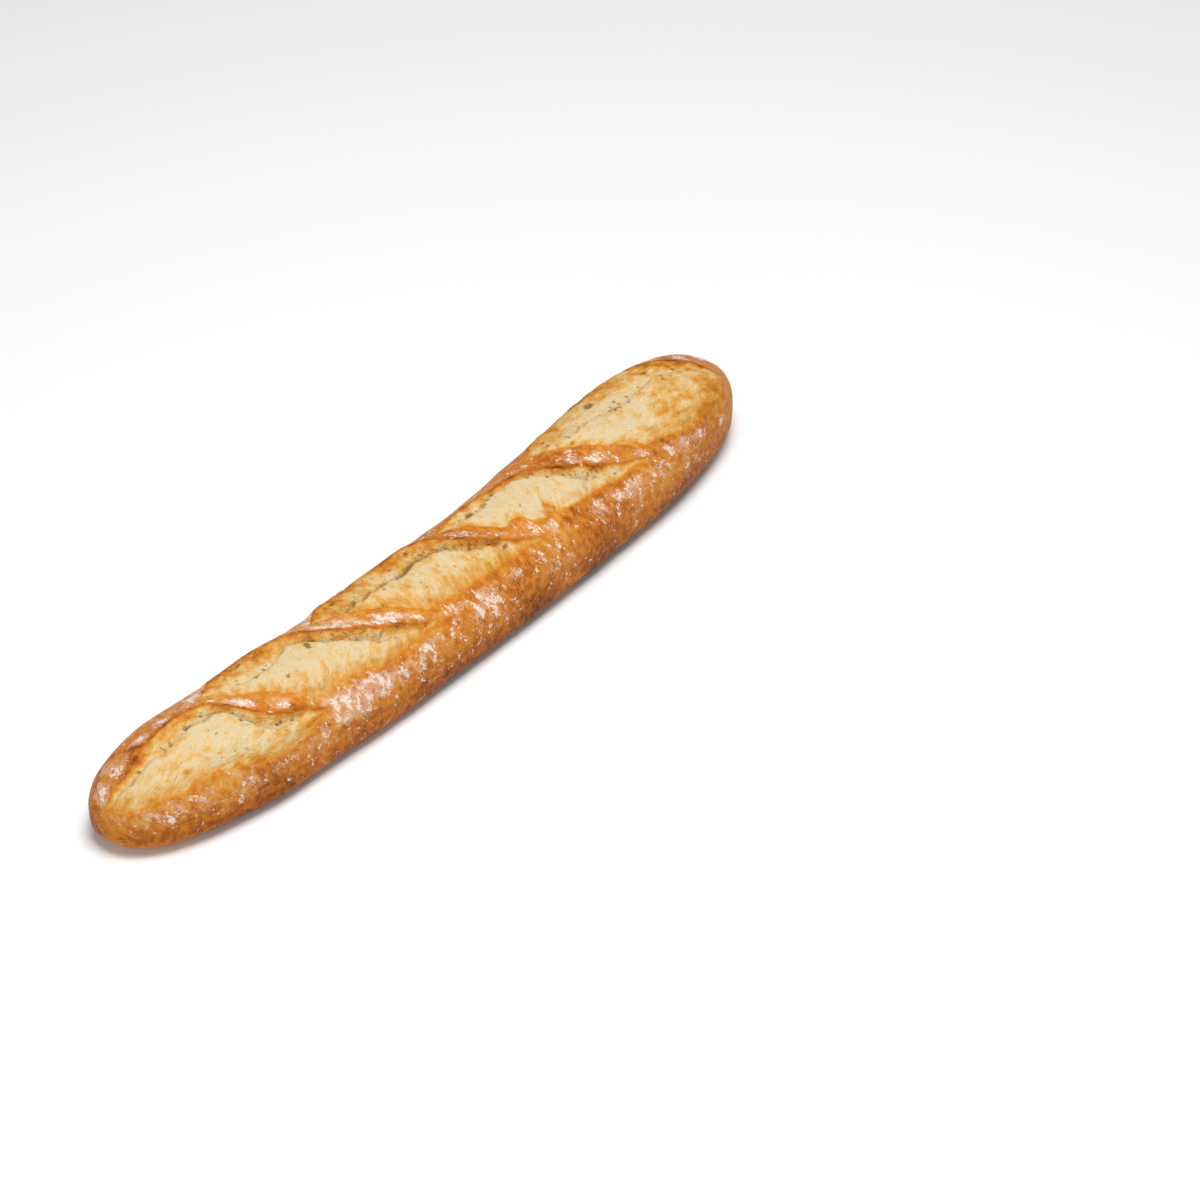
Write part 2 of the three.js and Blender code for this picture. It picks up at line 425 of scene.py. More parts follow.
class Opening(NamedTuple):
    """A slash's own measures at every point of the loaf, in millimetres where not a share."""

    share: np.ndarray  # of the way from the slash's start to its end
    along: np.ndarray  # from the start
    across: np.ndarray  # from the chord towards the ear
    from_rim: np.ndarray  # more than 0 on the ear's side of the rim
    to_ear: np.ndarray  # more than 0 on the rim's side of the ear
    width: np.ndarray  # from rim to ear
    crease: np.ndarray  # from rim to crease
    depth: np.ndarray  # of the crease
    beyond: np.ndarray  # past the start or the end, or 0 between them
    chord: np.ndarray  # the direction from start to end, as (x, girth)
    strength: np.ndarray  # 0 where the opening is shut, and 1 where it is wide

    @property
    def inside(self):
        return np.minimum(self.from_rim, self.to_ear) - self.beyond

    @property
    def to_crease(self):
        return self.crease - self.from_rim

    @property
    def wall_share(self):
        return -self.to_crease / np.maximum(self.width - self.crease, 0.1)


def along_slash(share, table, column=1):
    """A value from a slash's table at a share of its length."""
    values = np.array(table, float)
    return np.interp(share, values[:, 0], values[:, column])


def opening_of(slash, number, x, girth):
    """A slash's measures at places on the crust. number picks the slash's layer of noise."""
    chord = np.array(slash.end, float) - np.array(slash.start, float)
    length = np.linalg.norm(chord)
    chord /= length
    dx = x - slash.start[0]
    dg = girth - slash.start[1]
    along = dx * chord[0] + dg * chord[1]
    across = chord[0] * dg - chord[1] * dx
    share = along / length
    place = np.stack([along, across * EDGE_ACROSS, np.full_like(along, EDGE_LAYERS * number)], axis=-1)
    ragged = smooth_step(share / CLEAN_END) * smooth_step((1 - share) / CLEAN_END)
    ear_edge = outline(share, slash.ear) + ragged * EAR_RAGGEDNESS * layered_noise(place, *EAR_TATTERS)
    rim_edge = outline(share, slash.rim) + ragged * RIM_RAGGEDNESS * layered_noise(place, *RIM_TATTERS)
    for middle, reach, half_width in slash.flaps:
        rim_edge = rim_edge - reach * plateau(along - middle, half_width)
    width = np.maximum(ear_edge + rim_edge, 0.0)
    highest = np.maximum(width - WALL_WIDTH, width / 2)
    crease = np.minimum(width * along_slash(share, slash.crease), highest)
    wander = ragged * CREASE_RAGGEDNESS * layered_noise(place, *CREASE_TATTERS)
    return Opening(
        share=share,
        along=along,
        across=across,
        from_rim=across + rim_edge,
        to_ear=ear_edge - across,
        width=width,
        crease=np.minimum(crease + wander, width - NARROWEST_WALL),
        depth=along_slash(share, slash.crease, 2),
        beyond=np.maximum(np.maximum(-share, share - 1.0), 0.0) * length,
        chord=chord,
        strength=smooth_step(width / FULL_RELIEF_WIDTH),
    )


def belly_relief(slash, opening):
    """The height of the swollen dough, from the rim to where it rolls under into the crease."""
    swollen = lerp(SHALLOW_BELLY, 1.0, smooth_step(opening.depth / FULL_BELLY_DEPTH))
    bulge = BELLY_HEIGHT * swollen * smooth_step(opening.crease / FULL_BELLY_WIDTH)
    tuck = 1 - np.clip(opening.to_crease / BELLY_EDGE, 0, 1)
    rolled = 1 - np.sqrt(1 - tuck**2)
    belly = RIM_HEIGHT + bulge * smooth_step(opening.from_rim / BELLY_RISE)
    belly = belly - (bulge + RIM_HEIGHT + opening.depth) * rolled
    first_half = smooth_step((GROOVE_END - opening.share) / GROOVE_CLOSING)
    return belly - slash.groove * first_half * bell(opening.from_rim - GROOVE_WIDTH, GROOVE_WIDTH)


def overhang(slash, opening, past_ear):
    """How far the ear leans over towards the rim. The wall under it draws back."""
    wall = opening.wall_share
    lip = slash.lip.reach * rise(opening.share, slash.lip.start, LIP_ONSET)
    lip = lip * smooth_step((LIP_END - opening.share) / LIP_CLOSING)
    drawn_back = WALL_HOLLOW * np.sin(math.pi * np.clip(wall / HOLLOW_TOP, 0, 1))
    under = rise(wall, LIP_ROOT, 1 - LIP_ROOT) - drawn_back
    return lip * np.where(opening.to_ear <= 0, past_ear, np.where(wall > 0, under, 0.0))


def slash_relief(slash, opening):
    """How far the crust is pushed out, and how far it is pushed towards the rim."""
    height = slash.lip.height
    wall = opening.wall_share
    past_ear = 1 - smooth_step(-opening.to_ear / EAR_REACH)
    past_rim = 1 - smooth_step(-opening.from_rim / RIM_REACH)
    climb = lerp(-opening.depth, height, np.clip(wall, 0, 1) ** WALL_CURVE)
    torn = np.where(wall > 0, climb, belly_relief(slash, opening))
    crust = np.where(opening.to_ear <= 0, height * past_ear, RIM_HEIGHT * past_rim)
    inside = (opening.from_rim > 0) & (opening.to_ear > 0)
    out = np.where(inside, torn, crust)
    amount = opening.strength * bell(opening.beyond, END_FADE)
    return amount * out, amount * overhang(slash, opening, past_ear)


def raised(loaf, openings):
    """The loaf's points with the relief of its slashes."""
    points = loaf.points.copy()
    for slash, opening in zip(SLASHES, openings):
        out, push = slash_relief(slash, opening)
        across = opening.chord[0] * loaf.towards_ear
        across[..., 0] -= opening.chord[1]
        points += out[..., None] * loaf.normals - push[..., None] * across
    return points


def turned(along, across, degrees, layer):
    """Coordinates whose first axis lies at an angle to the given ones."""
    c, s = math.cos(math.radians(degrees)), math.sin(math.radians(degrees))
    first = along * c + across * s
    second = across * c - along * s
    return np.stack([first, second, np.full_like(along, layer)], axis=-1)


CRUST_GRAIN = (0.37, -0.7, -0.61)  # the way that blisters and flour are drawn out


def grained(points):
    """The points' coordinates in a frame whose first axis lies along the crust's grain."""
    along = unit(np.array(CRUST_GRAIN))
    level = unit(np.cross(along, (0, 0, 1)))
    return points @ np.stack([along, level, np.cross(along, level)], axis=-1)


def narrow_part(loaf):
    """1 on about a quarter of the loaf, at its narrow end."""
    return rise(-loaf.x, 60, 60)


def narrow_back(loaf):
    """1 on the narrow end behind its slash, where fine flour lies over browner crust."""
    return rise(-loaf.x, 160, 45) * rise(loaf.girth, -10, 20)


def above_foot(loaf):
    """0 near the floor, and 1 from the middle of the loaf's height up."""
    return rise(loaf.points[..., 2], 8, 24)


# Browning goes from 0 for pale crumb to 1 for the edge of burnt
PALEST_BELLY = 0.08
BROWNEST_BELLY = 0.64
PALEST_WALL = 0.07
PLAIN_CRUST = 0.62
SCORCHED_EDGE = 0.2


def belly_browning(slash, opening, grain):
    """How brown the swollen dough is: golden by the rim, and in patches drawn out along the slash."""
    streaks = np.stack([0.5 * opening.along, opening.across, grain[..., 2]], axis=-1)
    mottle = layered_noise(streaks, *BELLY_MOTTLE)
    patches = layered_noise(grain * [0.5, 1, 1], *BELLY_PATCHES)
    reach = along_slash(opening.share, slash.rim_toast)
    by_rim = fall_off(opening.from_rim + 3.5 * mottle, reach)
    near_rim = fall_off(opening.from_rim, 2.8 * reach)
    spots = rise(patches + 0.5 * mottle, 0.2, 1.2) * near_rim
    toast = along_slash(opening.share, slash.toast) * (1 + 0.5 * mottle + 0.4 * patches)
    toast = np.clip(toast + 0.04 * mottle, 0, 0.6)
    pale = (1 - 0.34 * by_rim) * (1 - 0.26 * spots) * (1 - toast)
    edge = 0.12 * fall_off(opening.from_rim, 2.0)
    return np.minimum(1 - (1 - PALEST_BELLY) * pale + 0.07 * patches + edge, BROWNEST_BELLY)


def wall_browning(slash, opening, grain):
    """How brown the torn wall is: nearly burnt at the ear, and pale towards the crease."""
    mottle = layered_noise(grain, *WALL_MOTTLE)
    flecks = layered_noise(grain, *WALL_FLECKS)
    reach = along_slash(opening.share, slash.ear_toast)
    reach = np.minimum(reach, 2.0 + 1.3 * (opening.width - opening.crease))
    from_ear = (opening.to_ear + 0.45 * reach * mottle) / np.maximum(reach, 0.1)
    glow = np.clip(1 - from_ear, 0, 1) ** 1.1
    burnt = 0.12 * np.exp(-opening.to_ear / 1.2)
    return PALEST_WALL + 0.54 * glow + 0.11 * flecks * (0.4 + glow) + burnt


def crust_browning(loaf, grain):
    """How brown the unbroken crust is: deeper in a few spots, darker low down (partly deeper baking,
    partly painted shade), and paler by the tips' feet.
    """
    uneven = layered_noise(grain * [0.7, 1, 1], *CRUST_PATCHES)
    spots = rise(layered_noise(grain, *CRUST_SPOTS), 0.62, 0.4)
    height = loaf.points[..., 2]
    # Darker low down: partly deeper baking by the oven floor, partly painted shade
    low = fall_off(height, 34.0)
    low_tip = fall_off(height, 14.0) * rise(np.abs(loaf.x), 205, 40)
    level = PLAIN_CRUST + 0.1 * uneven + 0.12 * spots + 0.25 * low - 0.38 * low_tip
    return level + 0.14 * narrow_back(loaf) - 0.05 * narrow_part(loaf)


def torn_share(inside):
    """1 on torn dough and 0 on crust, from the distance inside an opening's edge."""
    return smooth_step(inside / 2.0 + 0.5)


def slash_browning(slash, opening, grain, crust, uneven):
    """The crust's browning with one slash's added: its edges, its ridge and the torn dough within."""
    on_wall = smooth_step(-opening.to_crease / 3.0 + 0.5)
    belly = belly_browning(slash, opening, grain)
    dough = lerp(belly, wall_browning(slash, opening, grain), on_wall)
    at_ear = bell(np.hypot(opening.to_ear + 0.4, opening.beyond), 1.4)
    at_rim = bell(np.hypot(opening.from_rim, opening.beyond), 5.0)
    scorch = SCORCHED_EDGE * (at_ear * opening.strength * np.clip(0.6 + 0.6 * uneven, 0, 1))
    ridge = fall_off(-opening.to_ear, 12.0) * opening.strength * bell(opening.beyond, 6)
    crust = crust + slash.rim_brown * at_rim + scorch + 0.04 * ridge
    return lerp(crust, dough + scorch, torn_share(opening.inside))


def deep_split_shade(opening, grain):
    """How much painted shade darkens the crevice between belly and wall: a ragged band, at deep
    creases only.
    """
    torn_edge = layered_noise(grain, *SPLIT_EDGE)
    from_split = -opening.to_crease - 0.6 * opening.depth + 1.6 * torn_edge
    split_shade = plateau(from_split, 2.2) * rise(opening.depth, 1.5, 5.0)
    return split_shade * opening.strength * np.clip(0.3 + 0.1 * opening.depth + 0.9 * torn_edge, 0, 1)


PORES_AND_SHADE_UP_WALL = 3.5  # how far above the crease the pores and the painted crease shade are thickest


def crease_shade_and_pore_density(opening, torn):
    """How full of pores the torn dough is, and how much painted shade it takes: most a little way up
    the wall of a deep crease.
    """
    up_wall = -PORES_AND_SHADE_UP_WALL - opening.to_crease
    by_crease = bell(up_wall, np.where(up_wall < 0, 3.5, 6.0))
    return by_crease * torn * smooth_step(opening.depth / 7.0) * opening.strength


def rolled_under(opening):
    """Where the belly is too steep for gas holes, next to the crease."""
    return smooth_step(opening.to_crease / 0.8) * fall_off(opening.to_crease - 0.8, 2.5)


# Places where flour lies thickest, as (x, girth, radius, amount)
FLOUR_DABS = [
    (-234, -37, 5, 0.4),
    (-218, -40, 6, 0.4),
    (-190, -48, 8, 0.5),
    (-163, -45, 8, 0.3),
    (-142, -47, 8, 0.25),
    (-95, -33, 8, 0.25),
    (-72, -40, 7, 0.35),
    (-58, -35, 4, 0.4),
    (-29, -28, 7, 0.5),
    (-9, -38, 8, 0.45),
    (18, -35, 6, 0.4),
    (58, -28, 6, 0.4),
    (73, -38, 4, 0.3),
    (95, -35, 5, 0.5),
    (112, -40, 4, 0.5),
    (123, -42, 6, 0.5),
    (143, -30, 5, 0.5),
    (160, -35, 4, 0.5),
    (176, -38, 6, 0.9),
    (190, -42, 7, 0.9),
    (219, -43, 5, 0.6),
    (214, 17, 6, 0.8),
    (230, 10, 5, 1.0),
    (244, 4, 5, 1.0),
    (254, -8, 4, 0.6),
    (-252, 5, 3, 0.5),
    (-240, 8, 3, 0.5),
    (-221, 12, 4, 0.6),
    (-206, 13, 5, 0.6),
    (-181, 18, 4, 0.5),
    (-169, -4, 5, 0.35),
    (-152, -20, 4, 0.45),
    (-64, -11, 6, 0.4),
    (20, -12, 6, 0.3),
    (103, -4, 6, 0.45),
    (115, -16, 4, 0.4),
]


def dusting(loaf, openings, grain):
    """How thickly flour lies, from 0 to 1: on the ridges, in dabs, and less low down."""
    patches = layered_noise(grain * [0.6, 1, 1], *FLOUR_PATCHES)
    flour = 0.05 + 0.42 * rise(patches, -0.3, 1.0)
    flour = flour * lerp(1.2, 0.75, rise(loaf.x, -80, 100))
    flour = flour * (1 - 0.8 * rise(loaf.x, 195, 35))
    flour = flour * (1 - 0.6 * narrow_back(loaf))
    for x, girth, radius, amount in FLOUR_DABS:
        flour = flour + amount * np.exp(-((loaf.x - x) ** 2 + (loaf.girth - girth) ** 2) / radius**2)
    flour = flour * lerp(0.1, 1.0, above_foot(loaf))
    for opening in openings:
        past_ear = -opening.to_ear
        on_ridge = fall_off(past_ear, 14.0) * opening.strength * smooth_step(past_ear / 4)
        flour = flour + 0.32 * on_ridge * bell(opening.beyond, 6)
        flour = flour - 0.6 * bell(opening.to_ear + 1, 2.5) * opening.strength
        flour = flour * (1 - 0.8 * bell(np.hypot(opening.from_rim + 1, opening.beyond), 3))
    return np.clip(flour, 0, 1)


def haze(loaf, flour, grain):
    """How much fine flour dulls the crust: most on the narrow end's back, least on the broad end."""
    broad_end = rise(loaf.x, 190, 35)
    patchy = np.clip(0.75 + 1.2 * layered_noise(grain * [0.6, 1, 1], *HAZE_PATCHES), 0, 1.6)
    dulled = (0.4 * narrow_part(loaf) + 0.2 * narrow_back(loaf)) * above_foot(loaf) * patchy
    return np.clip(1.5 * flour - 0.08 + dulled - 0.35 * broad_end, -0.35, 1)


# Larger gas holes in the torn dough: (x, girth, half width, length against width, degrees of turn)
GAS_HOLES = [
    (-149, 4, 1.3, 2.0, 60),
    (-145, 23, 1.3, 1.3, 0),
    (-138, -9, 0.9, 1.3, 30),
    (-114, 1, 1.7, 1.4, 60),
    (-107, 6, 1.0, 2.0, -40),
    (-94, 15, 1.2, 2.0, 45),
    (-86, 12, 1.0, 2.0, 60),
    (-75, 10, 0.9, 2.2, 60),
    (-74, 24, 1.3, 2.2, 30),
    (-65, 16, 1.3, 1.7, 60),
    (-16, 22, 1.1, 1.6, 0),
    (30, 13, 2.0, 2.2, 15),
    (50, 12, 1.3, 1.5, 30),
    (73, 4, 1.0, 1.5, 20),
    (120, 9, 1.5, 3.0, -10),
    (137, 11, 1.2, 2.4, 10),
    (151, 20, 2.6, 1.3, 20),
    (154, 1, 1.1, 3.6, 45),
    (165, -1, 0.9, 2.8, 40),
    (171, 5, 0.8, 1.5, 40),
    (197, 12, 1.6, 1.2, 0),
    (197, -3, 0.9, 1.8, 20),
    (211, -6, 0.8, 1.5, 20),
]
PORES_PER_SLASH = 34
PORE_SEED = 5
PORE_PLACES = (0.12, 0.85)  # the shares of the slash between which they lie
PORE_SPREAD = 2.5  # how far they stray from the crease
PORE_RADII = (0.5, 1.0)
PORE_STRETCH = 1.3
PORE_FREE_EDGE = 3.0  # how far below the ear they stop


def gas_holes():
    """The named holes, and small pores strewn along each crease."""
    chance = np.random.default_rng(PORE_SEED)
    holes = list(GAS_HOLES)
    for slash in SLASHES:
        start, end = np.array(slash.start, float), np.array(slash.end, float)
        chord = unit(end - start)
        for share in chance.uniform(*PORE_PLACES, PORES_PER_SLASH):
            rim, ear = outline(share, slash.rim), outline(share, slash.ear)
            crease = along_slash(share, slash.crease) * (rim + ear) - rim
            across = crease + chance.normal(1.0, PORE_SPREAD)
            if across < ear - PORE_FREE_EDGE:
                x, girth = lerp(start, end, share) + across * np.array([-chord[1], chord[0]])
                radius = chance.uniform(*PORE_RADII)
                holes.append((x, girth, radius, PORE_STRETCH, chance.uniform(0, 90)))
    return holes


def hollows(loaf):
    """Where the gas holes are, from 0 outside them to 1 within, and their depth."""
    within = np.zeros_like(loaf.x)
    depth = np.zeros_like(loaf.x)
    ragged = 0.25 * layered_noise(loaf.points, *HOLE_EDGE)
    for x, girth, radius, stretch, turn in gas_holes():
        spot = turned(loaf.x - x, loaf.girth - girth, turn, 0.0)
        distance = np.hypot(spot[..., 0] / stretch, spot[..., 1]) / radius + ragged
        within = np.maximum(within, smooth_step((1.3 - distance) / 0.45))
        depth = np.maximum(depth, radius * smooth_step(1.15 - distance))
    return within, depth


FAR_OUTSIDE = -60.0  # the distance inside an opening where there is none


def looks(loaf, openings):
    """The values that the material reads at every point, and how deep the gas holes go in."""
    crust_grain = grained(loaf.points)
    uneven = layered_noise(crust_grain, *SCORCH_GAPS)
    brown = crust_browning(loaf, crust_grain)
    inside = np.full_like(loaf.x, FAR_OUTSIDE)
    crumb_grain = np.zeros(loaf.points.shape)
    split_shade, crease_shade_and_pores, steep = np.zeros((3, *loaf.x.shape))
    for number, (slash, opening) in enumerate(zip(SLASHES, openings)):
        grain = turned(opening.along, opening.across, slash.grain, CRUMB_LAYERS * number)
        torn = torn_share(opening.inside)
        owned = opening.inside > inside
        crumb_grain = np.where(owned[..., None], grain, crumb_grain)
        brown = slash_browning(slash, opening, grain, brown, uneven)
        split_shade = np.maximum(split_shade, deep_split_shade(opening, grain) * torn)
        crease_shade_and_pores = np.maximum(crease_shade_and_pores, crease_shade_and_pore_density(opening, torn))
        steep = np.maximum(steep, rolled_under(opening) * torn)
        inside = np.maximum(inside, opening.inside)
    holes, hole_depth = hollows(loaf)
    flour = dusting(loaf, openings, crust_grain)
    holed = smooth_step(inside) * (1 - steep)
    return {
        "inside": inside,
        "brown": brown,
        "flour": flour,
        "haze": haze(loaf, flour, crust_grain),
        # painted shade in the crease crevices and the gas holes
        "hollow_shade": np.maximum(split_shade, holes * holed),
        "crease_shade_and_pores": crease_shade_and_pores,
        "crust_grain": crust_grain,
        "crumb_grain": crumb_grain,
    }, hole_depth * holed


def roughened(points, loaf, masks, hole_depth):
    """Adds the dough's uneven swelling, its stretch marks, and small bumps and holes."""
    torn = torn_share(masks["inside"])
    swelling = SWELLING_HEIGHT * layered_noise(loaf.points, *SWELLING)
    blisters = BLISTER_HEIGHT * layered_noise(loaf.points, *BLISTERS)
    lumps = LUMP_HEIGHT * layered_noise(loaf.points, *CRUMB_LUMPS)
    marks = layered_noise(masks["crumb_grain"] * [0.35, 1, 1], *STRETCH_MARKS)
    crumb = lumps + STRETCH_MARK_HEIGHT * marks
    out = swelling + lerp(blisters, crumb, torn) - hole_depth
    return points + out[..., None] * loaf.normals


def grid_faces():
    """Quads between neighbouring stations. The two tips are fans of triangles."""
    faces = []
    last = (STATIONS - 3) * AROUND
    tip_a = (STATIONS - 2) * AROUND
    tip_b = tip_a + 1
    for i in range(STATIONS - 3):
        for k in range(AROUND):
            after = (k + 1) % AROUND
            a, b = i * AROUND + k, i * AROUND + after
            faces.append((a, b, b + AROUND, a + AROUND))
    for k in range(AROUND):
        after = (k + 1) % AROUND
        faces.append((tip_a, after, k))
        faces.append((tip_b, last + k, last + after))
    return faces


def as_vertices(grid):
    """A grid's values in the order of the mesh: the inner stations, then one point for each tip."""
    inner = grid[1:-1, :AROUND]
    flat = inner.reshape((-1,) + inner.shape[2:])
    tips = np.stack([grid[0, :AROUND].mean(axis=0), grid[-1, :AROUND].mean(axis=0)])
    return np.concatenate([flat, tips])


def store_on_points(mesh, masks):
    """Stores the values that the material reads, each under its name."""
    for name, grid in masks.items():
        kind, field = ("FLOAT", "value") if grid.ndim == 2 else ("FLOAT_VECTOR", "vector")
        attribute = mesh.attributes.new(name, kind, "POINT")
        attribute.data.foreach_set(field, as_vertices(grid).astype(np.float32).ravel())


def make_loaf():
    loaf = smooth_loaf()
    openings = [opening_of(slash, i, loaf.x, loaf.girth) for i, slash in enumerate(SLASHES)]
    masks, hole_depth = looks(loaf, openings)
    points = raised(loaf, openings)
    masks["crumb_grain"][..., 2] += np.sum((points - loaf.points) * loaf.normals, axis=-1)
    points = roughened(points, loaf, masks, hole_depth)
    points[..., 2] = np.maximum(points[..., 2], 0.0)
    vertices = as_vertices(points)
    middle = (vertices.min(axis=0) + vertices.max(axis=0)) / 2
    vertices[:, :2] -= middle[:2]
    mesh = bpy.data.meshes.new("crusty_loaf")
    mesh.from_pydata((vertices * MM).tolist(), [], grid_faces())
    store_on_points(mesh, masks)
    mesh.polygons.foreach_set("use_smooth", [True] * len(mesh.polygons))
    mesh.update()
    piece = bpy.data.objects.new("crusty_loaf", mesh)
    bpy.context.collection.objects.link(piece)
    return piece


class Nodes:
    """Short names for the shader nodes that a material is made of."""

    def __init__(self, name):
        self.material = bpy.data.materials.new(name)
        self.material.use_nodes = True
        self.tree = self.material.node_tree
        self.shader = self.tree.nodes["Principled BSDF"]

    def link(self, value, socket):
        if isinstance(value, bpy.types.NodeSocket):
            self.tree.links.new(value, socket)
        else:
            socket.default_value = value

    def attribute(self, name, output="Fac"):
        node = self.tree.nodes.new("ShaderNodeAttribute")
        node.attribute_name = name
        return node.outputs[output]

    def math(self, operation, a, b):
        node = self.tree.nodes.new("ShaderNodeMath")
        node.operation = operation
        self.link(a, node.inputs[0])
        self.link(b, node.inputs[1])
        return node.outputs[0]

    def add(self, a, b):
        return self.math("ADD", a, b)

    def times(self, a, b):
        return self.math("MULTIPLY", a, b)

    def larger(self, a, b):
        return self.math("MAXIMUM", a, b)

    def ramp(self, value, low, high, start=0.0, end=1.0):
        """A smooth change from start to end while value goes from low to high."""
        node = self.tree.nodes.new("ShaderNodeMapRange")
        node.interpolation_type = "SMOOTHSTEP"
        self.link(value, node.inputs["Value"])
        node.inputs["From Min"].default_value = low
        node.inputs["From Max"].default_value = high
        node.inputs["To Min"].default_value = start
        node.inputs["To Max"].default_value = end
        return node.outputs["Result"]

    def noise(self, place, size, detail, stretch, roughness=0.55, layer=0.0):
        """Noise of a size in millimetres, longer along the place's first axis."""
        mapping = self.tree.nodes.new("ShaderNodeMapping")
        self.link(place, mapping.inputs["Vector"])
        mapping.inputs["Scale"].default_value = (1 / (size * stretch), 1 / size, 1 / size)
        mapping.inputs["Location"].default_value = (layer, layer, layer)
        node = self.tree.nodes.new("ShaderNodeTexNoise")
        self.link(mapping.outputs["Vector"], node.inputs["Vector"])
        node.inputs["Scale"].default_value = 1.0
        node.inputs["Detail"].default_value = detail
        node.inputs["Roughness"].default_value = roughness
        return node.outputs["Fac"]

    def colours(self, value, stops):
        node = self.tree.nodes.new("ShaderNodeValToRGB")
        self.link(value, node.inputs["Fac"])
        elements = node.color_ramp.elements
        while len(elements) < len(stops):
            elements.new(1.0)
        for element, (place, shade) in zip(elements, stops):
            element.position = place
            element.color = colour(shade)
        return node.outputs["Color"]

    def blend(self, factor, a, b):
        """A number between a and b."""
        return self.add(self.times(a, self.math("SUBTRACT", 1.0, factor)), self.times(b, factor))

    def mix(self, factor, a, b):
        """A colour between a and b."""
        node = self.tree.nodes.new("ShaderNodeMix")
        node.data_type = "RGBA"
        self.link(factor, node.inputs["Factor"])
        self.link(colour(a), node.inputs["A"])
        self.link(colour(b), node.inputs["B"])
        return node.outputs["Result"]

    def bump(self, height, distance, strength, after):
        """A surface normal with bumps of a distance in millimetres, on top of an earlier one's."""
        node = self.tree.nodes.new("ShaderNodeBump")
        self.link(height, node.inputs["Height"])
        node.inputs["Distance"].default_value = distance * MM
        node.inputs["Strength"].default_value = strength
        if after is not None:
            self.link(after, node.inputs["Normal"])
        return node.outputs["Normal"]


def colour(value):
    """A socket as it is, or an sRGB colour of three numbers up to 255 as a linear one."""
    if isinstance(value, bpy.types.NodeSocket):
        return value
    linear = []
    for channel in value:
        c = channel / 255
        linear.append(c / 12.92 if c <= 0.04045 else ((c + 0.055) / 1.055) ** 2.4)
    return (*linear, 1.0)


# Wheat dough's colour as it bakes, from pale crumb to the edge of burnt
BROWNING = [
    (0.0, (214, 195, 156)),
    (0.15, (218, 189, 139)),
    (0.35, (215, 166, 92)),
    (0.52, (206, 141, 57)),
    (0.68, (192, 113, 34)),
    (0.84, (152, 81, 22)),
    (1.0, (90, 46, 12)),
]

# What lies over that: its colour, and the most that it covers. The shaded crumb and the hollows' dark
# colour are painted shade.
SHADED_CRUMB = (210, 169, 103)
SHADE_COVER = 0.45
HOLLOW_SHADE = (126, 90, 33)
HOLLOW_SHADE_COVER = 0.86
PORE_SHADE_COVER = 0.5
FLOUR_FILM = (218, 182, 158)
FILM_COVER = 0.6
FLOUR = (234, 217, 203)
FLECK_COVER = 0.85

CRUST_ROUGHNESS = 0.45
CRUMB_ROUGHNESS = 0.85
FLOUR_ROUGHNESS = 0.8
SPECULAR = 0.06


def crumb_mottle(n, crumb):
    """Paler and browner places of the torn dough, and freckles."""
    mottle = n.noise(crumb, 4.0, detail=6.0, stretch=1.8, roughness=0.7)
    freckles = n.noise(crumb, 2.2, detail=5.0, stretch=1.7, roughness=0.65, layer=21)
    return n.add(n.ramp(mottle, 0.3, 0.7, -0.17, 0.17), n.ramp(freckles, 0.42, 0.7, -0.03, 0.09))


def crumb_pores(n, crumb, crease_shade_and_pores, torn):
    """Small open pores, of two sizes."""
    fine = n.noise(crumb, 1.0, detail=2.0, stretch=1.5, roughness=0.5, layer=3)
    wide = n.noise(crumb, 2.6, detail=2.0, stretch=1.8, roughness=0.5, layer=7)
    pores = n.add(n.larger(fine, wide), n.times(crease_shade_and_pores, 0.2))
    return n.times(n.ramp(pores, 0.7, 0.77), torn)


def flour_film(n, crust, bare):
    """A thin uneven film of flour on unbroken crust."""
    film = n.noise(crust, 2.8, detail=6.0, stretch=1.5, roughness=0.8, layer=5)
    film = n.add(film, n.times(n.attribute("haze"), 0.21))
    return n.times(n.ramp(film, 0.59, 0.74), bare)


def flour_flecks(n, crust, bare):
    """Clumps and grit of flour, closest together in its dabs."""
    clumps = n.noise(crust, 5.0, detail=4.0, stretch=1.7, roughness=0.6, layer=9)
    grit = n.noise(crust, 1.5, detail=4.0, stretch=1.3, roughness=0.7, layer=14)
    flecks = n.add(n.blend(0.45, clumps, grit), n.times(n.attribute("flour"), 0.15))
    return n.times(n.ramp(flecks, 0.59, 0.64), bare)


def baked_colour(n, speckle, mottle, torn):
    """The colour of crust and torn dough by how brown they are, each uneven in its own way."""
    brown = n.attribute("brown")
    on_crust = n.ramp(speckle, 0.35, 0.65, 0.1, -0.1)
    on_crumb = n.times(mottle, n.ramp(brown, 0.2, 0.6, 1.0, 0.45))
    return n.colours(n.add(brown, n.blend(torn, on_crust, on_crumb)), BROWNING)


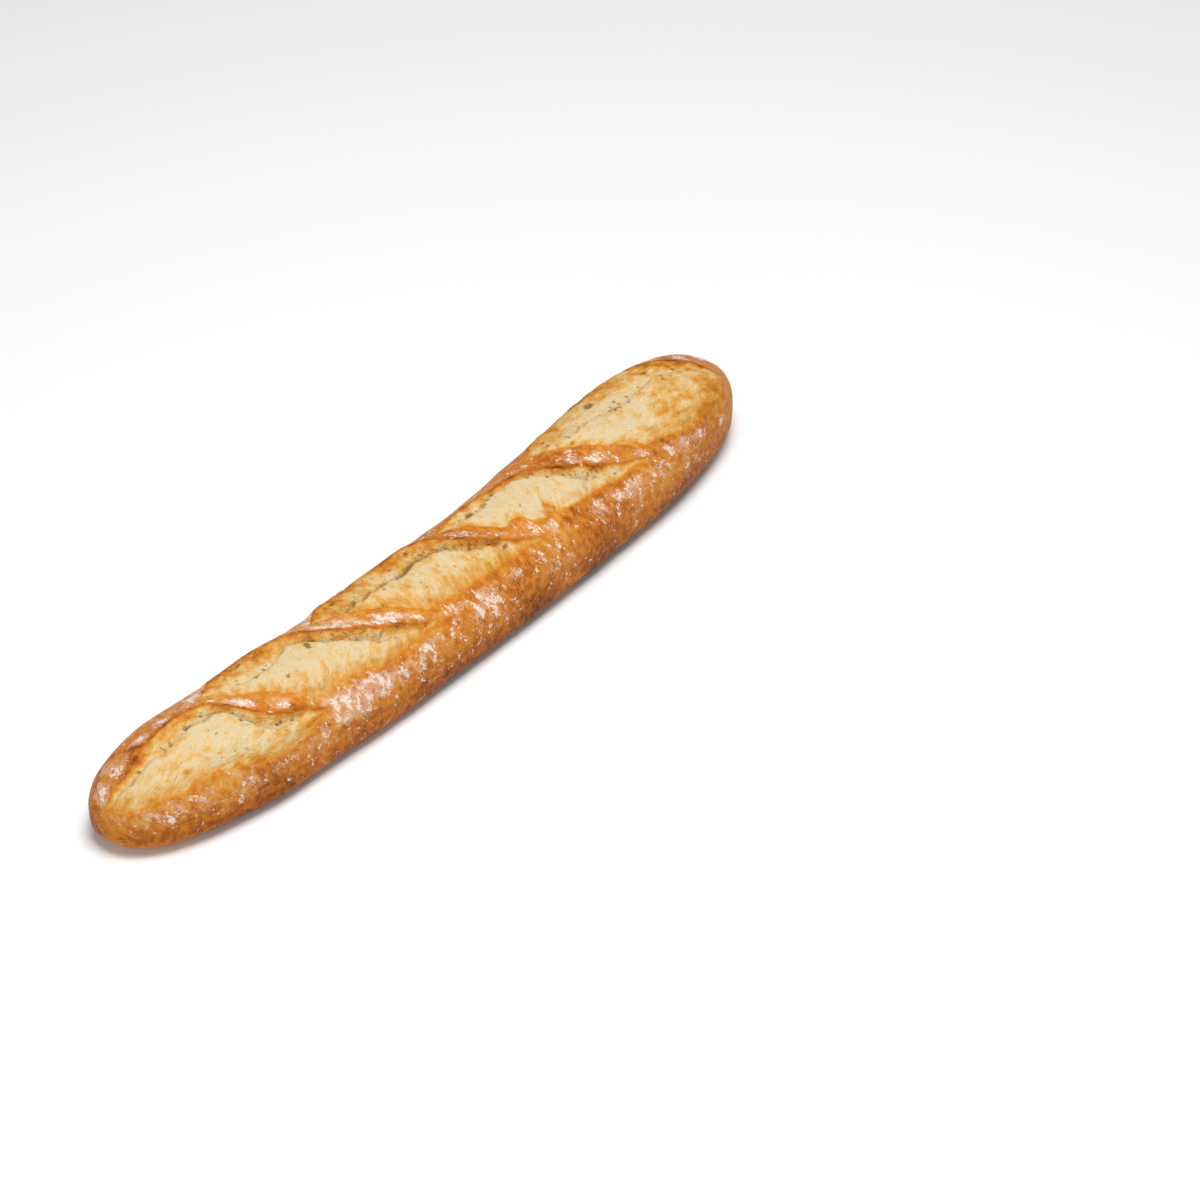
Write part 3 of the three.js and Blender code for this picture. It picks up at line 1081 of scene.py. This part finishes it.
def crust_material():
    """Crust, torn dough and flour in one, told apart by the values stored on the mesh."""
    n = Nodes("baked_crust")
    crust = n.attribute("crust_grain", "Vector")
    crumb = n.attribute("crumb_grain", "Vector")
    crease_shade_and_pores = n.attribute("crease_shade_and_pores")
    torn = n.ramp(n.attribute("inside"), -0.8, 0.8)
    bare = n.ramp(torn, 0.2, 0.8, 1.0, 0.0)
    speckle = n.noise(crust, 4.0, detail=6.0, stretch=1.4, roughness=0.65)
    wrinkles = n.noise(crumb, 1.3, detail=4.0, stretch=2.5)
    mottle = crumb_mottle(n, crumb)
    pores = crumb_pores(n, crumb, crease_shade_and_pores, torn)
    film = flour_film(n, crust, bare)
    flecks = flour_flecks(n, crust, bare)

    pit_shade = n.larger(n.times(n.attribute("hollow_shade"), HOLLOW_SHADE_COVER), n.times(pores, PORE_SHADE_COVER))
    skin = baked_colour(n, speckle, mottle, torn)
    # Painted shade: the crumb near deep creases is mixed towards a shaded colour
    skin = n.mix(n.times(crease_shade_and_pores, SHADE_COVER), skin, SHADED_CRUMB)
    # Painted shade: dark in the crease crevices, the gas holes and the pores
    skin = n.mix(pit_shade, skin, HOLLOW_SHADE)
    skin = n.mix(n.times(film, FILM_COVER), skin, FLOUR_FILM)
    skin = n.mix(n.times(flecks, FLECK_COVER), skin, FLOUR)
    n.link(skin, n.shader.inputs["Base Color"])

    rough = n.ramp(torn, 0.0, 1.0, CRUST_ROUGHNESS, CRUMB_ROUGHNESS)
    n.link(n.larger(rough, n.times(film, FLOUR_ROUGHNESS)), n.shader.inputs["Roughness"])
    n.shader.inputs["Specular IOR Level"].default_value = SPECULAR

    normal = None
    for height, distance, strength in (
        (speckle, 0.4, 0.5),
        (n.times(mottle, torn), 1.0, 0.5),
        (n.times(n.add(wrinkles, -0.5), torn), 1.2, 0.8),
        (n.times(pores, -1.0), 0.5, 0.8),
        (flecks, 0.15, 0.6),
    ):
        normal = n.bump(height, distance, strength, normal)
    n.link(normal, n.shader.inputs["Normal"])
    return n.material


# The camera: a long lens, looking down along the loaf from its narrow end
LENS = 100.0
SENSOR = 36.0
ELEVATION = math.radians(40.0)
SWING = math.radians(49.5)
TARGET = Vector((0.0711, -0.0562, 0.0))
DISTANCE = 1.9396
CLIP_END = 20.0


def make_camera():
    data = bpy.data.cameras.new("camera")
    data.lens = LENS
    data.sensor_width = SENSOR
    data.clip_end = CLIP_END
    camera = bpy.data.objects.new("camera", data)
    back = Vector((
        -math.sin(SWING) * math.cos(ELEVATION),
        -math.cos(SWING) * math.cos(ELEVATION),
        math.sin(ELEVATION),
    ))
    camera.location = TARGET + back * DISTANCE
    camera.rotation_euler = back.to_track_quat("Z", "Y").to_euler()
    bpy.context.collection.objects.link(camera)
    bpy.context.scene.camera = camera


FLOOR_SIZE = 12.0
FLOOR_SHADE = (244, 244, 244)
FLOOR_ROUGHNESS = 0.9
SKY_STRENGTH = 0.22
LIT_PLACE = Vector((0, 0, 0.03))

# The lamps, which all face the lit place: (name, place, size, power in watts)
LAMPS = [
    ("overhead", (-0.05, -0.3, 1.9), 1.0, 37.0),
    ("front_fill", (-1.5, -1.0, 1.0), 1.6, 11.0),
]


def make_floor():
    bpy.ops.mesh.primitive_plane_add(size=FLOOR_SIZE, location=(0, 0, 0))
    floor = bpy.context.object
    floor.name = "floor"
    n = Nodes("pale_floor")
    n.link(colour(FLOOR_SHADE), n.shader.inputs["Base Color"])
    n.shader.inputs["Roughness"].default_value = FLOOR_ROUGHNESS
    floor.data.materials.append(n.material)


def make_lights():
    """An even white sky, and large soft lamps."""
    world = bpy.data.worlds.new("studio")
    world.use_nodes = True
    background = world.node_tree.nodes["Background"]
    background.inputs["Color"].default_value = (1.0, 1.0, 1.0, 1.0)
    background.inputs["Strength"].default_value = SKY_STRENGTH
    bpy.context.scene.world = world
    for name, place, size, power in LAMPS:
        data = bpy.data.lights.new(name, "AREA")
        data.size = size
        data.energy = power
        lamp = bpy.data.objects.new(name, data)
        lamp.location = place
        lamp.rotation_euler = (Vector(place) - LIT_PLACE).to_track_quat("Z", "Y").to_euler()
        bpy.context.collection.objects.link(lamp)


def main():
    piece = make_loaf()
    piece.data.materials.append(crust_material())
    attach(piece, "root")
    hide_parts("loaf")
    make_camera()
    make_floor()
    make_lights()
    bpy.context.scene.view_settings.view_transform = "Standard"


main()
